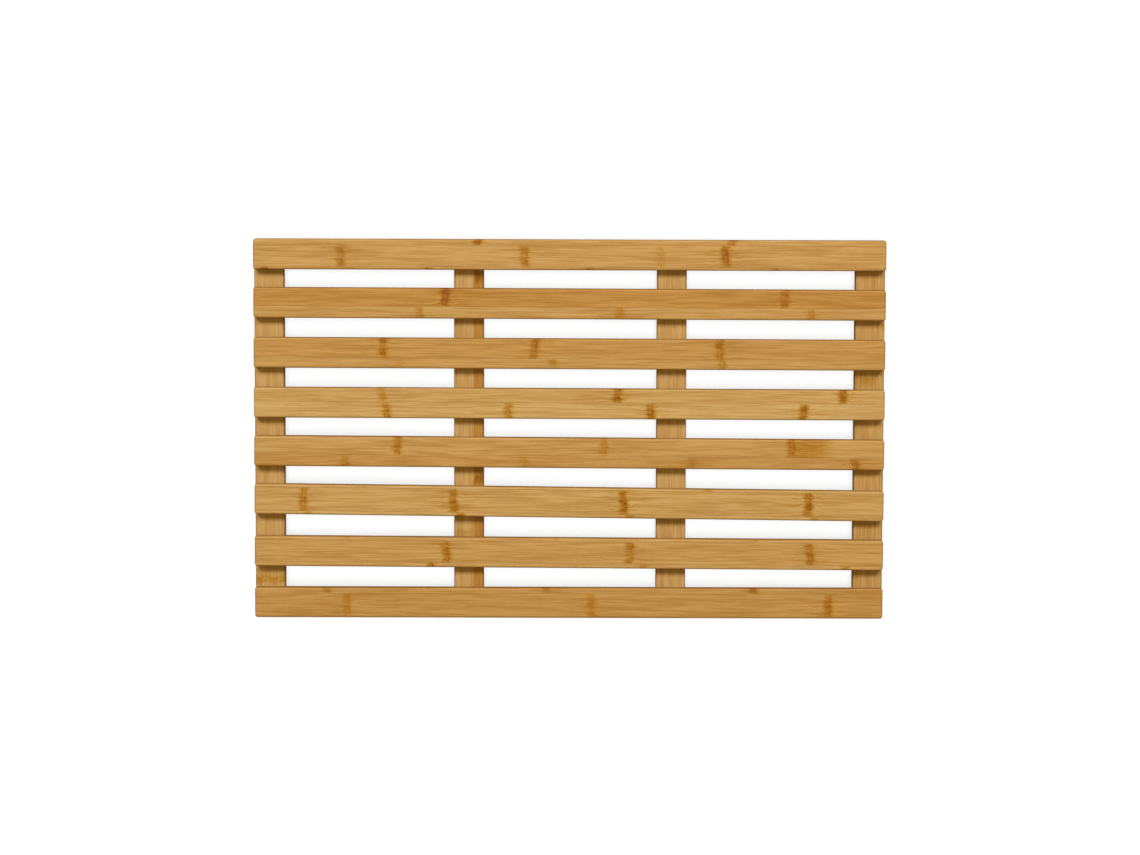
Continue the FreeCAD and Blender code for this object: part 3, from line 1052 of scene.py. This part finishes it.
def moulded_rubber():
    """Synthetic rubber from a spark-eroded mould: dark grey, matt, with a fine pebbled skin that catches a
    little dust. The pebbles are drawn 0.6 mm across, coarser than the real 0.1 mm, so that they show."""
    material, tree = bare_material("moulded_rubber")
    place = add(tree, "ShaderNodeTexCoord").outputs["Object"]
    pebbles = add(
        tree, "ShaderNodeTexVoronoi", {"Vector": place, "Scale": 1 / (0.6 * MM)}, feature="SMOOTH_F1"
    ).outputs["Distance"]
    dust = add(tree, "ShaderNodeTexNoise", {"Vector": place, "Scale": 1 / (5 * MM), "Detail": 4.0})
    dusty = add(tree, "ShaderNodeMapRange", {"Value": dust, "From Min": 0.42, "From Max": 0.75})
    colour = add(
        tree, "ShaderNodeMix", {0: dusty, 1: linear("2c2b2a"), 2: linear("4a4744")}, data_type="RGBA"
    )
    gloss = add(tree, "ShaderNodeMapRange", {"Value": dusty, "To Min": 0.55, "To Max": 0.75})
    bump = add(tree, "ShaderNodeBump", {"Strength": 0.35, "Distance": 0.08 * MM, "Height": pebbles})
    surface = add(
        tree,
        "ShaderNodeBsdfPrincipled",
        {"Base Color": colour, "Roughness": gloss, "IOR": 1.52, "Normal": bump},
    )
    add(tree, "ShaderNodeOutputMaterial", {"Surface": surface})
    return material


feet = foot_tree()
rubber = moulded_rubber()
half_groove = GROOVE_WIDTH / 2
edge_radius = FOOT_RADIUS - FOOT_TAPER * (1 - FOOT_EDGE / FOOT_HEIGHT)
foot_profile = profile_of(
    (BORE_RADIUS, FOOT_HEIGHT),
    *arc(FOOT_RADIUS - FOOT_RIM, FOOT_HEIGHT - FOOT_RIM, FOOT_RIM, 90, 0),
    *arc(edge_radius - FOOT_EDGE, FOOT_EDGE, FOOT_EDGE, 0, -90, steps=6),
    *arc(GROOVE_RADIUS + half_groove + GROOVE_RIM, GROOVE_RIM, GROOVE_RIM, -90, -180, steps=2),
    *arc(GROOVE_RADIUS, GROOVE_DEPTH - half_groove, half_groove, 0, 180, steps=6),
    *arc(GROOVE_RADIUS - half_groove - GROOVE_RIM, GROOVE_RIM, GROOVE_RIM, 0, -90, steps=2),
    *arc(RECESS_RADIUS + FOOT_RIM, FOOT_RIM, FOOT_RIM, -90, -180),
    (RECESS_RADIUS, RECESS_DEPTH),
    (BORE_RADIUS, RECESS_DEPTH),
    (BORE_RADIUS, FOOT_HEIGHT),
)
foot_places = []
for side in SIDES:
    for end in ("back", "front"):
        name = f"foot_{side}_{end}"
        place = middle_of(name)
        foot_places.append((place.x, place.y, 0))
        foot = made_by(
            feet,
            f"rubber_{name}",
            foot_profile,
            Segments=FOOT_SEGMENTS,
            Places=foot_places[-1:],
            Slots=SLOT_COUNT,
            Slot_size=Vector(SLOT_SIZE) * MM,
            Slot_radius=(GROOVE_RADIUS + SLOT_SIZE[0] / 2) * MM,
            Material=rubber,
        )
        outward(foot.data)
        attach(foot, "root")
        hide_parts(name)


# ---- Foot screws ---------------------------------------------------------------------------------------
# Eight pan head 3 x 12 wood screws of the same stainless steel, one up through the middle of each foot into
# its batten. Their heads sit in the recesses, clear of the floor.

FOOT_SCREW_LENGTH = 12.0
FOOT_SCREW_HEAD = 2.9
FOOT_SCREW_DOME = 0.7
FOOT_SCREW_SHANK = 1.1
FOOT_SCREW_THREAD = 1.5
FOOT_SCREW_PITCH = 1.2
FOOT_SCREW_TIP = 2.5
SMALL_CROSS = (3.2, 0.9, 1.0)

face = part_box("foot_screws")[0][2] / MM
point = RECESS_DEPTH + FOOT_SCREW_LENGTH
foot_screws = made_by(
    screws,
    "steel_foot_screws",
    profile_of(
        (0, face),
        *arc(FOOT_SCREW_HEAD - FOOT_SCREW_DOME, face + FOOT_SCREW_DOME, FOOT_SCREW_DOME, -90, 0),
        (FOOT_SCREW_HEAD, RECESS_DEPTH),
        (FOOT_SCREW_SHANK, RECESS_DEPTH),
        (FOOT_SCREW_SHANK, point - FOOT_SCREW_TIP),
        (TIP_RADIUS, point),
        (0, point),
    ),
    Segments=HOLE_SEGMENTS,
    Places=foot_places,
    Face=face * MM,
    Cross=Vector(SMALL_CROSS) * MM,
    Shank=FOOT_SCREW_SHANK * MM,
    Thread=FOOT_SCREW_THREAD * MM,
    Thread_start=(RECESS_DEPTH + THREAD_GAP) * MM,
    Pitch=FOOT_SCREW_PITCH * MM,
    Tip_start=(point - FOOT_SCREW_TIP) * MM,
    Thread_end=(point - THREAD_SHORT) * MM,
    Seed=len(SIDES),
    Material=steel,
)
outward(foot_screws.data)
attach(foot_screws, "root")
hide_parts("foot_screws")


# ---- Studio --------------------------------------------------------------------------------------------
# A white floor that is seen, and a grey one under it that throws light back up. Two large soft lamps stand
# behind the mat to its left and right, a wide one overhead lights the white floor alone, and the camera is
# high up, a little behind the mat's back edge. Distances are in metres unless they say otherwise.

scene = bpy.context.scene
scene.view_settings.view_transform = "Standard"
scene.view_settings.look = "None"

FLOOR_REACH = 4.0
FLOOR_DROP = 0.5              # millimetres from the feet to the white floor, and from that to the grey one
WHITE_FLOOR = "404040"        # dark paint, since most of the white floor's whiteness is its glow
WHITE_FLOOR_GLOW = 0.72
GREY_FLOOR = "747474"
OVERHEAD_PLACE = (0, 0, 3)
OVERHEAD_POWER = 17.0
OVERHEAD_SPREAD = 30.0        # degrees
FILL_COLOUR = "ffe090"
FILL_POWER = 0.46
LAMP_PLACES = ((-1.9, 2.24, 3.0), (1.9, 2.24, 3.0))
LAMP_SIZE = 1.24
LAMP_POWER = 88.0
CAMERA_SENSOR = 36.0          # millimetres, as is the lens
CAMERA_LENS = 99.6
CAMERA_SIGHT = 20.0
CAMERA_AIM = (0.7, 2.3, 28.0)    # millimetres
CAMERA_AWAY = 3.0
CAMERA_TILT = 5.1             # degrees from straight down, and then how far it is turned
CAMERA_ROLL = 0.15


def stage_floor(name, drop, material):
    """A square of floor some millimetres down, which isn't part of the mat."""
    mesh = bpy.data.meshes.new(name)
    far, level = FLOOR_REACH, -drop * MM
    corners = [(-far, -far, level), (far, -far, level), (far, far, level), (-far, far, level)]
    mesh.from_pydata(corners, [], [(0, 1, 2, 3)])
    mesh.materials.append(material)
    sheet = bpy.data.objects.new(name, mesh)
    scene.collection.objects.link(sheet)
    return sheet


def matt_paint(name, colour, glow):
    """Flat paint that may also glow evenly, which keeps it light where no lamp reaches."""
    material, tree = bare_material(name)
    matt = add(tree, "ShaderNodeBsdfDiffuse", {"Color": linear(colour)})
    light = add(tree, "ShaderNodeEmission", {"Color": linear("ffffff"), "Strength": glow})
    glowing = add(tree, "ShaderNodeAddShader", {0: matt, 1: light})
    add(tree, "ShaderNodeOutputMaterial", {"Surface": glowing})
    return material


# The white floor lights nothing, and the grey one, which throws light back up at the mat, isn't seen.
floor = stage_floor("floor", FLOOR_DROP, matt_paint("white_floor", WHITE_FLOOR, WHITE_FLOOR_GLOW))
floor.visible_diffuse = False
floor.visible_glossy = False
floor.visible_shadow = False
bounce = stage_floor("floor_bounce", 2 * FLOOR_DROP, matt_paint("grey_floor", GREY_FLOOR, 0.0))
bounce.visible_camera = False

# The overhead lamp leaves a soft edge of shade round every bar.
overhead = bpy.data.lights.new("overhead", "SUN")
overhead.energy = OVERHEAD_POWER
overhead.angle = math.radians(OVERHEAD_SPREAD)
overhead_object = bpy.data.objects.new("overhead", overhead)
overhead_object.location = OVERHEAD_PLACE
scene.collection.objects.link(overhead_object)
lit_by_overhead = bpy.data.collections.new("lit_by_overhead")
lit_by_overhead.objects.link(floor)
overhead_object.light_linking.receiver_collection = lit_by_overhead

# The air gives the mat a dim warm light from all sides, and is white behind it.
world = bpy.data.worlds.new("studio")
world.use_nodes = True
tree = world.node_tree
tree.nodes.clear()
seen = add(tree, "ShaderNodeLightPath").outputs["Is Camera Ray"]
dim = add(tree, "ShaderNodeBackground", {"Color": linear(FILL_COLOUR), "Strength": FILL_POWER})
white = add(tree, "ShaderNodeBackground", {"Color": linear("ffffff"), "Strength": 1.0})
air = add(tree, "ShaderNodeMixShader", {0: seen, 1: dim, 2: white})
add(tree, "ShaderNodeOutputWorld", {"Surface": air})
scene.world = world

for place in LAMP_PLACES:
    lamp = bpy.data.lights.new("soft_box", "AREA")
    lamp.shape = "DISK"
    lamp.size = LAMP_SIZE
    lamp.energy = LAMP_POWER
    lamp_object = bpy.data.objects.new("soft_box", lamp)
    lamp_object.location = place
    lamp_object.rotation_euler = (-Vector(place)).to_track_quat("-Z", "Y").to_euler()
    scene.collection.objects.link(lamp_object)

camera_data = bpy.data.cameras.new("camera")
camera_data.sensor_width = CAMERA_SENSOR
camera_data.lens = CAMERA_LENS
camera_data.clip_end = CAMERA_SIGHT
camera = bpy.data.objects.new("camera", camera_data)
scene.collection.objects.link(camera)
camera.matrix_world = (
    Matrix.Translation(Vector(CAMERA_AIM) * MM)
    @ Matrix.Rotation(math.radians(-CAMERA_TILT), 4, "X")
    @ Matrix.Rotation(math.radians(CAMERA_ROLL), 4, "Z")
    @ Matrix.Translation((0, 0, CAMERA_AWAY))
)
scene.camera = camera
